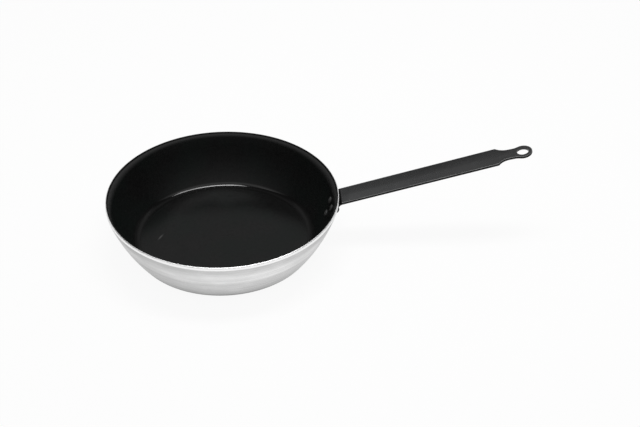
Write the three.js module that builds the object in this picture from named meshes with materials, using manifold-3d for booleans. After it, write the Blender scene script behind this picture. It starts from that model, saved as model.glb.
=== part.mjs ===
// A deep frying pan: a pressed aluminium bowl with a non-stick lining, and a steel strip handle
// that three rivets hold on. Units are millimetres and +Z is up. The origin is the centre of the
// base's underside, and the handle runs out along +X.
import * as THREE from 'three';
import { mergeVertices } from 'three/addons/utils/BufferGeometryUtils.js';
import Module from 'manifold-3d';

const wasm = await Module();
wasm.setup();

const degrees = THREE.MathUtils.degToRad;

// Bowl
const rimDiameter = 280;
const panHeight = 67;
const wallCurveRadius = 210;
const wallLeanAtRim = degrees(17.5);
const wallThickness = 3.2;
const baseThickness = 5;
const baseCornerRadius = 6;
const floorFilletRadius = 10;
const rimLandHeight = 4.2;
const rimInnerEdgeRadius = 0.8;
const rimTopFlat = 0.1;

// Non-stick lining
const liningThickness = 0.3;
const liningBondGap = 0.05;

// Handle strip
const stripWidth = 30.5;
const shoulderWidth = 31.8;
const stripThickness = 3.2;
const stripEdgeRounding = 0.8;
const stripLength = 192.8;
const handleRise = degrees(14.4);
const handleDropAtRim = 8.2;
const bendRadius = 4.5;

// Hanging end of the handle
const shoulderLength = 14;
const neckInset = 2.5;
const neckFilletRadius = 14;
const eyeHoleDiameter = 14;
const eyeRingWidth = 4.5;
const eyeReach = 31.2;
const eyeDroop = degrees(3.7);
const droopLength = 6;

// Flange and rivets
const rivetHeadDiameter = 8.5;
const rivetHeadHeight = 1.4;
const rivetTailHeight = 2.8;
const rivetHeadEdge = 0.5;
const rivetShankDiameter = 5;
const rivetHeadGap = 8;
const rivetRowGap = 6.2;
const rivetBelowBend = 5;
const cheekMargin = 1.6;
const cheekCornerRadius = 6;
const footMargin = 4;

// Clearances
const seatGap = 0.3;
const holeClearance = 0.3;

// Smoothness of the round surfaces, in steps
const bowlSteps = 72;
const wallSteps = 6;
const filletSteps = 3;
const edgeSteps = 2;
const rivetSteps = 20;
const holeSteps = 32;
const stripFaceSteps = 6;
const bendSteps = 6;
const taperSteps = 5;
const roundEndSteps = 4;
const eyeSteps = 8;

// Angle from the tip of a round end to its first section, so that the end closes on a narrow face
const roundEndStart = degrees(18);

// Sizes that follow from those above
const origin = new THREE.Vector2(0, 0);
const rimRadius = rimDiameter / 2;
const wallCentre = new THREE.Vector2(
  rimRadius - wallCurveRadius * Math.cos(wallLeanAtRim),
  panHeight - rimLandHeight + wallCurveRadius * Math.sin(wallLeanAtRim),
);
const innerCurveRadius = wallCurveRadius - wallThickness;
const flangeFaceRadius = wallCurveRadius + seatGap;
const flangeMiddleRadius = flangeFaceRadius + stripThickness / 2;
const bendMiddleRadius = bendRadius + stripThickness / 2;
const rivetHeadRadius = rivetHeadDiameter / 2;
const rivetShankRadius = rivetShankDiameter / 2;
const eyeRadius = eyeHoleDiameter / 2 + eyeRingWidth;
const neckHalf = eyeRadius - neckInset;

// Point at a distance and an angle from a centre, in the half plane of radius and height
function polar(centre, radius, angle) {
  return new THREE.Vector2(
    centre.x + radius * Math.cos(angle),
    centre.y + radius * Math.sin(angle),
  );
}

function arc(centre, radius, from, to, steps) {
  const points = [];
  for (let step = 0; step <= steps; step += 1) {
    points.push(polar(centre, radius, from + (to - from) * step / steps));
  }
  return points;
}

// Angle below the level where a circle round the wall's centre comes down to a height
function angleAtHeight(radius, height) {
  return Math.asin((wallCentre.y - height) / radius);
}

// Closed mesh of a geometry's positions, without the doubled points and the slivers on an axis
function toSolid(geometry) {
  const bare = geometry.clone();
  bare.deleteAttribute('normal');
  bare.deleteAttribute('uv');
  const merged = mergeVertices(bare);
  const triangles = [];
  for (let i = 0; i < merged.index.count; i += 3) {
    const corners = [0, 1, 2].map((k) => merged.index.getX(i + k));
    if (new Set(corners).size === 3) {
      triangles.push(...corners);
    }
  }
  return new wasm.Manifold(new wasm.Mesh({
    numProp: 3,
    vertProperties: new Float32Array(merged.attributes.position.array),
    triVerts: new Uint32Array(triangles),
  }));
}

function toGeometry(solid) {
  const mesh = solid.getMesh();
  const geometry = new THREE.BufferGeometry();
  geometry.setAttribute('position', new THREE.BufferAttribute(mesh.vertProperties, 3));
  geometry.setIndex(new THREE.BufferAttribute(mesh.triVerts, 1));
  geometry.computeVertexNormals();
  return geometry;
}

// Solid of revolution about Z, from a profile of radius and height
function revolve(profile) {
  const geometry = new THREE.LatheGeometry(profile, bowlSteps);
  geometry.rotateX(Math.PI / 2);
  return toSolid(geometry);
}

// Centre of the small rounding where the inside of the wall turns over into the top of the rim
const rimEdgeAngle = angleAtHeight(
  innerCurveRadius + rimInnerEdgeRadius,
  panHeight - rimInnerEdgeRadius,
);
const rimEdgeCentre = polar(wallCentre, innerCurveRadius + rimInnerEdgeRadius, -rimEdgeAngle);
const rimOuterRounding = rimRadius - rimEdgeCentre.x - rimTopFlat;

// Inside of the bowl from the middle of the floor up to the rim's edge, at a height above the bare
// metal: the fillet tightens as the surface stands further off.
function insideProfile(offset) {
  const filletPath = innerCurveRadius - floorFilletRadius;
  const filletAngle = angleAtHeight(filletPath, baseThickness + floorFilletRadius);
  const filletCentre = polar(wallCentre, filletPath, -filletAngle);
  const fillet = arc(
    filletCentre, floorFilletRadius - offset, -Math.PI / 2, -filletAngle, filletSteps,
  );
  const wall = arc(wallCentre, innerCurveRadius - offset, -filletAngle, -rimEdgeAngle, wallSteps);
  const middle = new THREE.Vector2(0, baseThickness + offset);
  return [middle, ...fillet, ...wall.slice(1)];
}

// Outside of the bowl from the middle of the base up over the turned land of the rim
function outsideProfile() {
  const cornerPath = wallCurveRadius - baseCornerRadius;
  const cornerAngle = angleAtHeight(cornerPath, baseCornerRadius);
  const cornerCentre = polar(wallCentre, cornerPath, -cornerAngle);
  const corner = arc(cornerCentre, baseCornerRadius, -Math.PI / 2, -cornerAngle, filletSteps);
  const wall = arc(wallCentre, wallCurveRadius, -cornerAngle, -wallLeanAtRim, wallSteps);
  const roundingCentre = new THREE.Vector2(
    rimRadius - rimOuterRounding,
    panHeight - rimOuterRounding,
  );
  const rounding = arc(roundingCentre, rimOuterRounding, 0, Math.PI / 2, filletSteps);
  return [origin, ...corner, ...wall.slice(1), ...rounding];
}

function makeBowl() {
  const edge = arc(
    rimEdgeCentre, rimInnerEdgeRadius, Math.PI / 2, Math.PI - rimEdgeAngle, edgeSteps,
  );
  return revolve([...outsideProfile(), ...edge, ...insideProfile(0).reverse().slice(1)]);
}

// The lining covers the floor and the wall, and leaves the rim bare
function makeLining() {
  const back = insideProfile(liningBondGap);
  const face = insideProfile(liningBondGap + liningThickness);
  return revolve([...back, ...face.reverse()]);
}

// The bend is tangent to the flange's wall face and to the strip's top face. Its centre lies on a
// line below the top face, as far from the wall's centre as the flange and the bend put it.
const bendOuterRadius = bendRadius + stripThickness;
const stripDirection = new THREE.Vector2(Math.cos(handleRise), Math.sin(handleRise));
const stripNormal = new THREE.Vector2(-stripDirection.y, stripDirection.x);
function findBendCentre() {
  const start = new THREE.Vector2(rimRadius, panHeight - handleDropAtRim)
    .addScaledVector(stripNormal, -bendOuterRadius);
  const fromWall = start.clone().sub(wallCentre);
  const along = fromWall.dot(stripDirection);
  const reach = flangeFaceRadius + bendOuterRadius;
  const travel = Math.sqrt(along ** 2 + reach ** 2 - fromWall.lengthSq()) - along;
  return start.addScaledVector(stripDirection, travel);
}
const bendCentre = findBendCentre();
const bendAngle = angleAtHeight(flangeFaceRadius + bendOuterRadius, bendCentre.y);

// Rivet rows, as angles round the wall's centre below the bend
const rivetSpacing = rivetHeadDiameter + rivetHeadGap;
const rivetRowPitch = rivetHeadDiameter + rivetRowGap;
const footRadius = rivetHeadRadius + footMargin;
const bendAboveRow = rivetHeadRadius + rivetBelowBend;
const upperRowAngle = bendAngle + bendAboveRow / wallCurveRadius;
const lowerRowAngle = upperRowAngle + rivetRowPitch / wallCurveRadius;
const cheekHalfWidth = rivetSpacing / 2 + rivetHeadRadius + cheekMargin;

// A section of the handle: the middle of the strip, the normal of its upper face, half its width,
// and how far it hugs the round wall, from 0 for a flat section to 1 on the flange.
function flangeSection(angle, halfWidth) {
  return {
    middle: polar(wallCentre, flangeMiddleRadius, -angle),
    normal: polar(origin, 1, Math.PI - angle),
    halfWidth,
    hug: 1,
  };
}

function stripSection(distance, halfWidth) {
  return {
    middle: bendCentre.clone()
      .addScaledVector(stripNormal, bendMiddleRadius)
      .addScaledVector(stripDirection, distance),
    normal: stripNormal,
    halfWidth,
    hug: 0,
  };
}

// Past the shoulders the strip droops a little, along a short curve and then straight
function hangingSection(distance, halfWidth) {
  const curved = Math.min(distance, droopLength);
  const turn = eyeDroop * curved / droopLength;
  const heading = handleRise - turn;
  const chord = handleRise - turn / 2;
  return {
    middle: stripSection(stripLength, halfWidth).middle
      .add(polar(origin, curved, chord))
      .add(polar(origin, distance - curved, heading)),
    normal: polar(origin, 1, heading + Math.PI / 2),
    halfWidth,
    hug: 0,
  };
}

// Half of the flange's outline, as distances up from the lower rivet and half widths: the round of
// the foot, a straight side that is tangent to it and to the cheek's corner beside an upper rivet,
// and a hollow that flares out to the strip's width at the bend.
function flangeOutline() {
  const corner = new THREE.Vector2(rivetRowPitch, cheekHalfWidth - cheekCornerRadius);
  const sideTurn = corner.angle() + Math.acos((footRadius - cheekCornerRadius) / corner.length());
  const foot = arc(origin, footRadius, Math.PI - roundEndStart, sideTurn, roundEndSteps);
  const cheek = arc(corner, cheekCornerRadius, sideTurn, Math.PI / 2, filletSteps);
  const flare = [];
  for (let step = 1; step < roundEndSteps; step += 1) {
    const turn = (Math.PI / 2) * step / roundEndSteps;
    flare.push(new THREE.Vector2(
      rivetRowPitch + bendAboveRow * Math.sin(turn),
      THREE.MathUtils.lerp(stripWidth / 2, cheekHalfWidth, Math.cos(turn)),
    ));
  }
  return [...foot, ...cheek, ...flare];
}

function flangeSections() {
  return flangeOutline().map((point) => (
    flangeSection(lowerRowAngle - point.x / wallCurveRadius, point.y)
  ));
}

// Through the bend the section turns from the wall to the strip and flattens
function bendSections() {
  const sections = [];
  for (let step = 0; step <= bendSteps; step += 1) {
    const share = step / bendSteps;
    const turn = THREE.MathUtils.lerp(Math.PI - bendAngle, Math.PI / 2 + handleRise, share);
    sections.push({
      middle: polar(bendCentre, bendMiddleRadius, turn),
      normal: polar(origin, 1, turn),
      halfWidth: stripWidth / 2,
      hug: 1 - THREE.MathUtils.smoothstep(share, 0, 1),
    });
  }
  return sections;
}

// Shoulders, neck and eye: a hollow arc in to the neck, then a fillet out to the eye's circle
function hangingEndSections() {
  const sections = [];
  const shoulderStep = shoulderWidth / 2 - neckHalf;
  const shoulderTurn = 2 * Math.atan(shoulderStep / shoulderLength);
  const shoulderRadius = shoulderLength / Math.sin(shoulderTurn);
  for (let step = 0; step <= taperSteps; step += 1) {
    const turn = shoulderTurn * (1 - step / taperSteps);
    const distance = shoulderLength - shoulderRadius * Math.sin(turn);
    sections.push(hangingSection(distance, neckHalf + shoulderRadius * (1 - Math.cos(turn))));
  }
  const centreRise = neckHalf + neckFilletRadius;
  const centreLine = eyeRadius + neckFilletRadius;
  const filletTurn = Math.acos(centreRise / centreLine);
  const filletCentre = eyeReach - centreLine * Math.sin(filletTurn);
  for (let step = 0; step < filletSteps; step += 1) {
    const turn = filletTurn * step / filletSteps;
    const distance = filletCentre + neckFilletRadius * Math.sin(turn);
    sections.push(hangingSection(distance, centreRise - neckFilletRadius * Math.cos(turn)));
  }
  const eyeEnd = Math.PI / 2 - roundEndStart;
  for (let step = 0; step <= eyeSteps; step += 1) {
    const turn = THREE.MathUtils.lerp(-filletTurn, eyeEnd, step / eyeSteps);
    const distance = eyeReach + eyeRadius * Math.sin(turn);
    sections.push(hangingSection(distance, eyeRadius * Math.cos(turn)));
  }
  return sections;
}

// Outline of a section: a flat bar with rounded edges, as pairs of across and through distances
function barOutline(halfWidth) {
  const half = stripThickness / 2;
  const edge = Math.min(stripEdgeRounding, half);
  const flat = halfWidth - edge;
  const diagonal = edge * Math.SQRT1_2;
  const upper = [[halfWidth, half - edge], [flat + diagonal, half - edge + diagonal]];
  for (let step = 0; step <= stripFaceSteps; step += 1) {
    upper.push([flat - 2 * flat * step / stripFaceSteps, half]);
  }
  upper.push([-flat - diagonal, half - edge + diagonal], [-halfWidth, half - edge]);
  const lower = upper.map(([across, through]) => [-across, -through]);
  return [...upper, ...lower];
}

// Place a point of a section in space, bent round the Z axis by as much as the section hugs
function placeOnSection(section, across, through) {
  const radius = section.middle.x + through * section.normal.x;
  const height = section.middle.y + through * section.normal.y;
  const turn = across / radius;
  return new THREE.Vector3(
    THREE.MathUtils.lerp(radius, radius * Math.cos(turn), section.hug),
    THREE.MathUtils.lerp(across, radius * Math.sin(turn), section.hug),
    height,
  );
}

function makeHandleBlank() {
  const sections = [...flangeSections(), ...bendSections(), ...hangingEndSections()];
  const vertices = [];
  const triangles = [];
  const count = barOutline(stripWidth).length;
  sections.forEach((section) => {
    barOutline(section.halfWidth).forEach(([across, through]) => {
      vertices.push(placeOnSection(section, across, through));
    });
  });
  for (let row = 0; row + 1 < sections.length; row += 1) {
    for (let k = 0; k < count; k += 1) {
      const a = row * count + k;
      const b = row * count + (k + 1) % count;
      triangles.push(a, b, a + count, b, b + count, a + count);
    }
  }
  const last = (sections.length - 1) * count;
  const firstCap = vertices.push(placeOnSection(sections[0], 0, 0)) - 1;
  const lastCap = vertices.push(placeOnSection(sections[sections.length - 1], 0, 0)) - 1;
  for (let k = 0; k < count; k += 1) {
    const next = (k + 1) % count;
    triangles.push(firstCap, next, k);
    triangles.push(lastCap, last + k, last + next);
  }
  const geometry = new THREE.BufferGeometry().setFromPoints(vertices);
  geometry.setIndex(triangles);
  return toSolid(geometry);
}

// Where a rivet crosses the outside of the wall, with its local +Y pointing out along its axis
function rivetPlace(across, angle) {
  const wallPoint = polar(wallCentre, wallCurveRadius, -angle);
  const turn = across / wallPoint.x;
  const axis = new THREE.Vector3(
    Math.cos(angle) * Math.cos(turn),
    Math.cos(angle) * Math.sin(turn),
    -Math.sin(angle),
  );
  const place = new THREE.Object3D();
  place.position.set(
    wallPoint.x * Math.cos(turn),
    wallPoint.x * Math.sin(turn),
    wallPoint.y,
  );
  place.quaternion.setFromUnitVectors(new THREE.Vector3(0, 1, 0), axis);
  place.updateMatrix();
  return place;
}

const rivetPlaces = {
  rivet_upper_left: rivetPlace(-rivetSpacing / 2, upperRowAngle),
  rivet_upper_right: rivetPlace(rivetSpacing / 2, upperRowAngle),
  rivet_lower: rivetPlace(0, lowerRowAngle),
};

// Profile of a domed head from the rim of its seat to its crown, as radius and height
function headProfile(height) {
  const domeHeight = height - rivetHeadEdge;
  const domeRadius = (rivetHeadRadius ** 2 + domeHeight ** 2) / (2 * domeHeight);
  const domeAngle = Math.asin(rivetHeadRadius / domeRadius);
  const dome = arc(
    new THREE.Vector2(0, height - domeRadius),
    domeRadius, Math.PI / 2 - domeAngle, Math.PI / 2, filletSteps,
  );
  dome[dome.length - 1].x = 0;
  return [new THREE.Vector2(rivetHeadRadius, 0), ...dome];
}

// A solid rivet: a low head inside the pan, the shank, and a fuller head set on the flange
function makeRivet() {
  const innerSeat = -(wallThickness + liningBondGap + liningThickness + seatGap);
  const outerSeat = seatGap + stripThickness + seatGap;
  const outer = headProfile(rivetTailHeight).map((point) => new THREE.Vector2(
    point.x, outerSeat + point.y,
  ));
  const inner = headProfile(rivetHeadHeight).map((point) => new THREE.Vector2(
    point.x, innerSeat - point.y,
  )).reverse();
  const shank = [
    new THREE.Vector2(rivetShankRadius, innerSeat),
    new THREE.Vector2(rivetShankRadius, outerSeat),
  ];
  return toSolid(new THREE.LatheGeometry([...inner, ...shank, ...outer], rivetSteps));
}

// Cut the three rivet holes out of a solid
function cutRivetHoles(solid) {
  const length = 4 * (wallThickness + liningThickness + stripThickness);
  const radius = rivetShankRadius + holeClearance;
  return Object.values(rivetPlaces).reduce((left, place) => {
    const drill = new THREE.CylinderGeometry(radius, radius, length, rivetSteps);
    drill.applyMatrix4(place.matrix);
    return left.subtract(toSolid(drill));
  }, solid);
}

function cutEye(solid) {
  const { middle } = hangingSection(eyeReach, eyeRadius);
  const radius = eyeHoleDiameter / 2;
  const drill = new THREE.CylinderGeometry(radius, radius, 4 * stripThickness, holeSteps);
  drill.rotateX(Math.PI / 2);
  drill.rotateY(eyeDroop - handleRise);
  drill.translate(middle.x, 0, middle.y);
  return solid.subtract(toSolid(drill));
}

// Finishes
const bareAluminium = new THREE.MeshStandardMaterial({
  color: 0xc9cbcc, roughness: 0.38, metalness: 1,
});
const nonstick = new THREE.MeshStandardMaterial({
  color: 0x1d1e1e, roughness: 0.45, metalness: 0,
});
const blackSteel = new THREE.MeshStandardMaterial({
  color: 0x343837, roughness: 0.55, metalness: 0.3,
});
const coatedRivet = new THREE.MeshStandardMaterial({
  color: 0x2a2b2b, roughness: 0.5, metalness: 0.1,
});

function piece(name, solid, material) {
  const mesh = new THREE.Mesh(toGeometry(solid), material);
  mesh.name = name;
  return mesh;
}

const pan = new THREE.Group();
pan.add(piece('pan_body', cutRivetHoles(makeBowl()), bareAluminium));
pan.add(piece('nonstick_lining', cutRivetHoles(makeLining()), nonstick));
pan.add(piece('handle', cutEye(cutRivetHoles(makeHandleBlank())), blackSteel));

const rivet = makeRivet();
Object.entries(rivetPlaces).forEach(([name, place]) => {
  const mesh = piece(name, rivet, coatedRivet);
  mesh.position.copy(place.position);
  mesh.quaternion.copy(place.quaternion);
  pan.add(mesh);
});

export default pan;
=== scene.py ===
import math

import bmesh
import bpy
from mathutils import Matrix, Vector


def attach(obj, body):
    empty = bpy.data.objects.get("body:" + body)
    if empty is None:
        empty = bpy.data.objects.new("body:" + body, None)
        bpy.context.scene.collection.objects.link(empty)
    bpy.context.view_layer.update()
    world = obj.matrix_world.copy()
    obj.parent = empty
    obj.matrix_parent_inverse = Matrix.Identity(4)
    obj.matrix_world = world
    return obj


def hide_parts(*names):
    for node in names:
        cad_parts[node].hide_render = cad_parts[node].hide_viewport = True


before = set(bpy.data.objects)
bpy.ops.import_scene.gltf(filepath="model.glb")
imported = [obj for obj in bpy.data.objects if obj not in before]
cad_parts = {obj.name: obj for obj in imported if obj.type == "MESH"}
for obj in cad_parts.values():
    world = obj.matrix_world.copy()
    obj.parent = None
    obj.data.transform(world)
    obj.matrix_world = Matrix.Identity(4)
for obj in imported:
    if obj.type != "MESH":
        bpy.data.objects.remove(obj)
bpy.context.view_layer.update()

# Bowl
RIM_DIAMETER = 0.280
PAN_HEIGHT = 0.067
WALL_CURVE_RADIUS = 0.210
WALL_LEAN_AT_RIM = math.radians(17.5)
WALL_THICKNESS = 0.0032
BASE_THICKNESS = 0.005
BASE_CORNER_RADIUS = 0.006
FLOOR_FILLET_RADIUS = 0.010
RIM_LAND_HEIGHT = 0.0042
RIM_LAND_BLEND = 0.0004
RIM_INNER_EDGE_RADIUS = 0.0008
RIM_TOP_FLAT = 0.0001

# Non-stick lining
LINING_THICKNESS = 0.0003
LINING_BOND_GAP = 0.00005

# Handle strip
STRIP_WIDTH = 0.0305
SHOULDER_WIDTH = 0.0318
STRIP_THICKNESS = 0.0032
STRIP_EDGE_ROUNDING = 0.0008
STRIP_CROWN = 0.0004
CROWN_RUN_OUT = 0.012
STRIP_LENGTH = 0.1928
HANDLE_RISE = math.radians(14.4)
HANDLE_DROP_AT_RIM = 0.0082
BEND_RADIUS = 0.0045

# Hanging end of the handle
SHOULDER_LENGTH = 0.014
NECK_INSET = 0.0025
NECK_FILLET_RADIUS = 0.014
EYE_HOLE_DIAMETER = 0.014
EYE_HOLE_ROUNDING = 0.0003
EYE_RING_WIDTH = 0.0045
EYE_REACH = 0.0312
EYE_DROOP = math.radians(3.7)
DROOP_LENGTH = 0.006

# Flange and rivets
RIVET_HEAD_DIAMETER = 0.0085
RIVET_HEAD_HEIGHT = 0.0014
RIVET_TAIL_HEIGHT = 0.0028
RIVET_HEAD_EDGE = 0.0005
RIVET_SEAT_SHARE = 0.975
RIVET_SEAT_ROUNDING = 0.0001
RIVET_SHOULDER_SHARE = 0.984
RIVET_SHOULDER_DROP = 0.00015
RIVET_SHOULDER_RISE = 0.00003
RIVET_DOME_SHARE = 0.93
RIVET_SHANK_DIAMETER = 0.005
RIVET_HEAD_GAP = 0.008
RIVET_ROW_GAP = 0.0062
RIVET_BELOW_BEND = 0.005
CHEEK_MARGIN = 0.0016
CHEEK_CORNER_RADIUS = 0.006
FOOT_MARGIN = 0.004

# Clearances
SEAT_GAP = 0.0003
HEAD_SEAT_GAP = 0.00015
HOLE_CLEARANCE = 0.0003
WELD_DISTANCE = 0.000002
CUTTER_REACH = 0.02

# Smoothness: steps round each form, and where the handle's faces are split across
BOWL_STEPS = 288
RIVET_STEPS = 48
HOLE_STEPS = 64
HOLE_EDGE_STEPS = 6
STRIP_EDGE_STEPS = 5
CHEEK_STEPS = 16
OUTLINE_PITCH = 0.0006
OUTLINE_EASING_PASSES = 5
STRIP_SHARES = (0.0, 0.03, 0.08, 0.16, 0.26, 0.38, 0.5, 0.62, 0.74, 0.84, 0.92, 0.97, 1.0)
SIDE_FADE_ANGLE = math.radians(70)
BOWL_SHARP_ANGLE = math.radians(40)
FITTING_SHARP_ANGLE = math.radians(35)

# Tones in linear grey. The wall's follow its height from the base to the rim's land and are painted
# shade: they darken towards the foot, where the wall mirrors the shadow under the pan
WALL_TONES = (
    (0.00, 0.08), (0.03, 0.12), (0.06, 0.29), (0.13, 0.47), (0.20, 0.57), (0.30, 0.63), (0.37, 0.67),
    (0.48, 0.69), (0.56, 0.84), (0.63, 0.83), (0.70, 0.86), (0.75, 0.83), (0.80, 0.74), (0.85, 0.64),
    (0.94, 0.61),
)
BASE_FACE_TONE = 0.66
RIM_TONE = 0.98
RIM_COAT_TONE = 0.010
COAT_DARK_TONE = 0.0050
COAT_PALE_TONE = 0.0074
COAT_COOL_COLOUR = (0.0058, 0.0088, 0.0078, 1.0)
COAT_RIM_SHEEN_TONE = 0.066
COAT_FILLET_TONE = 0.0060
COAT_GLOW_PATCH_TONE = 0.025
COAT_SCRATCH_TONE = 0.065
STEEL_DARK_TONE = 0.0115
STEEL_PALE_TONE = 0.0150
STEEL_MOTTLE_TONE = 0.032
STEEL_RUBBED_TONE = 0.028
STEEL_NEAR_SHEEN_TONE = 0.050
STEEL_EDGE_SHEEN_TONE = 0.28
STEEL_SIDE_TONE = 0.013
STEEL_CREVICE_SHADE_TONE = 0.004
RIVET_DARK_TONE = 0.035
RIVET_PALE_TONE = 0.060
RIVET_OUTER_TONE = 0.022
STUDIO_FLOOR_TONE = 0.93

# Marks on the pan's floor: middle, half sizes and turn. The patch is a painted reflection of the
# lamp; the scratch is a real mark
GLOW_PATCH_PLACE = (0.0025, 0.073, BASE_THICKNESS)
GLOW_PATCH_HALF_SIZES = (0.024, 0.015)
SCRATCH_PLACE = (-0.0775, 0.005, BASE_THICKNESS)
SCRATCH_HALF_SIZES = (0.0085, 0.0016)
SCRATCH_TURN = 1.04

# Where the finishes change. A pair is the two ends of a fade, from the edge or line it starts at
BASE_FACE_FADE = (-0.004, 0.0)
BASE_FACE_LIFT = (0.0002, 0.001)
RIM_LAND_FADE = (-0.0001, 0.0003)
RIM_COAT_FADE = (0.0, 0.0004)
RIM_COAT_START = (-0.002, 0.0)
SHEEN_BAND_START = (0.0008, 0.0022)
SHEEN_BAND_DEPTH = 0.0065
SHEEN_BAND_EXTRA_AT_SIDES = 0.0075
FLOOR_EDGE_FADE = (-0.002, 0.0)
FLOOR_FILLET_FADE = (0.004, 0.006)
RING_INNER_FADE = (0.0020, 0.0032)
RING_OUTER_FADE = (0.0052, 0.0066)
STEEL_RUBBED_FADE = (0.003, 0.120)
STEEL_NEAR_SHEEN_FADE = (0.020, 0.220)
STEEL_NEAR_SHEEN_SIDE_FADE = (-0.004, 0.001)
STEEL_EDGE_SIDE_FADE = (-0.002, 0.005)
STEEL_CREVICE_FADE = (0.0022, 0.0034)
STEEL_CREVICE_START = (0.0, 0.005)
RIVET_OUTER_FADE = (-0.008, -0.006)

# Depths of the finest relief
SPUN_GRAIN_DEPTH = 0.000005
COAT_GRAIN_DEPTH = 0.000003
STEEL_PEEL_DEPTH = 0.000004
RIVET_PEEL_DEPTH = 0.00001

# Studio
FLOOR_HALF_SIZE = 20.0
FLOOR_DROP = 0.0002
FLOOR_WHITE_SHARE = 0.92
WORLD_DIFFUSE_STRENGTH = 0.46
WORLD_DIM_STRENGTH = 0.04
SOFTBOX_PLACE = (0.185, 0.10, 1.22)
SOFTBOX_SIZE = (0.86, 0.28)
SOFTBOX_RADIANCE = 10.0

# Studio that the metal mirrors. A pair is the two ends of a fade, in parts of a unit direction
HORIZON_FADE = (0.01, 0.10)
PAPER_SIDE_FADE = (0.30, 0.45)
PAPER_TOP_FADE = (0.30, 0.38)
PANEL_FOOT_FADE = (0.49, 0.67)
PANEL_TOP_FADE = (0.64, 0.70)
BACK_FADE = (0.2, 0.5)
FRONT_TOP_FADE = (0.80, 0.95)
FRONT_FADE = (-0.1, 0.0)

# Camera, fitted to the photo's rim, wall and handle
CAMERA_LENS = 87.19
CAMERA_SENSOR = 36.0
CAMERA_PLACE = Vector((0.0035, -1.5108, 1.1571))
CAMERA_DIRECTION = Vector((0.0604, 0.8010, -0.5955))

# Sizes that follow from those above
ORIGIN = Vector((0.0, 0.0))
RIM_RADIUS = RIM_DIAMETER / 2
WALL_CENTRE = Vector((
    RIM_RADIUS - WALL_CURVE_RADIUS * math.cos(WALL_LEAN_AT_RIM),
    PAN_HEIGHT - RIM_LAND_HEIGHT + WALL_CURVE_RADIUS * math.sin(WALL_LEAN_AT_RIM),
))
INNER_CURVE_RADIUS = WALL_CURVE_RADIUS - WALL_THICKNESS
FLANGE_FACE_RADIUS = WALL_CURVE_RADIUS + SEAT_GAP
FLANGE_MIDDLE_RADIUS = FLANGE_FACE_RADIUS + STRIP_THICKNESS / 2
BEND_MIDDLE_RADIUS = BEND_RADIUS + STRIP_THICKNESS / 2
BEND_OUTER_RADIUS = BEND_RADIUS + STRIP_THICKNESS
RIVET_HEAD_RADIUS = RIVET_HEAD_DIAMETER / 2
RIVET_SHANK_RADIUS = RIVET_SHANK_DIAMETER / 2
EYE_HOLE_RADIUS = EYE_HOLE_DIAMETER / 2
EYE_RADIUS = EYE_HOLE_RADIUS + EYE_RING_WIDTH
NECK_HALF = EYE_RADIUS - NECK_INSET
STRIP_HALF = STRIP_WIDTH / 2
SHOULDER_HALF = SHOULDER_WIDTH / 2
HALF_THICKNESS = STRIP_THICKNESS / 2


def lerp(a, b, share):
    return a + (b - a) * share


def smoothstep(share):
    return share * share * (3 - 2 * share)


def polar(centre, radius, angle):
    return Vector((
        centre[0] + radius * math.cos(angle),
        centre[1] + radius * math.sin(angle),
    ))


def arc(centre, radius, start, end, steps):
    return [polar(centre, radius, lerp(start, end, k / steps)) for k in range(steps + 1)]


def line(start, end, steps):
    return [start.lerp(end, k / steps) for k in range(steps + 1)]


def angle_at_height(radius, height):
    """Angle below the level where a circle round the wall's centre comes down to a height."""
    return math.asin((WALL_CENTRE[1] - height) / radius)


# Profiles of the bowl and its lining, in radius and height
RIM_EDGE_ANGLE = angle_at_height(
    INNER_CURVE_RADIUS + RIM_INNER_EDGE_RADIUS, PAN_HEIGHT - RIM_INNER_EDGE_RADIUS,
)
RIM_EDGE_CENTRE = polar(
    WALL_CENTRE, INNER_CURVE_RADIUS + RIM_INNER_EDGE_RADIUS, -RIM_EDGE_ANGLE,
)
RIM_OUTER_ROUNDING = RIM_RADIUS - RIM_EDGE_CENTRE[0] - RIM_TOP_FLAT
FLOOR_FILLET_PATH = INNER_CURVE_RADIUS - FLOOR_FILLET_RADIUS
FLOOR_FILLET_ANGLE = angle_at_height(FLOOR_FILLET_PATH, BASE_THICKNESS + FLOOR_FILLET_RADIUS)
FLOOR_FILLET_CENTRE = polar(WALL_CENTRE, FLOOR_FILLET_PATH, -FLOOR_FILLET_ANGLE)
FLOOR_RADIUS = FLOOR_FILLET_CENTRE[0]
BASE_CORNER_PATH = WALL_CURVE_RADIUS - BASE_CORNER_RADIUS
BASE_CORNER_ANGLE = angle_at_height(BASE_CORNER_PATH, BASE_CORNER_RADIUS)
BASE_CORNER_CENTRE = polar(WALL_CENTRE, BASE_CORNER_PATH, -BASE_CORNER_ANGLE)
BASE_FACE_RADIUS = BASE_CORNER_CENTRE[0]


def inside_profile(offset):
    """Inside of the bowl from the middle of the floor to the rim's edge, off the bare metal."""
    turn = -FLOOR_FILLET_ANGLE
    fillet = arc(FLOOR_FILLET_CENTRE, FLOOR_FILLET_RADIUS - offset, -math.pi / 2, turn, 20)
    wall = arc(WALL_CENTRE, INNER_CURVE_RADIUS - offset, turn, -RIM_EDGE_ANGLE, 32)
    floor = line(Vector((0.0, BASE_THICKNESS + offset)), fillet[0], 6)
    return floor + fillet[1:] + wall[1:]


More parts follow.
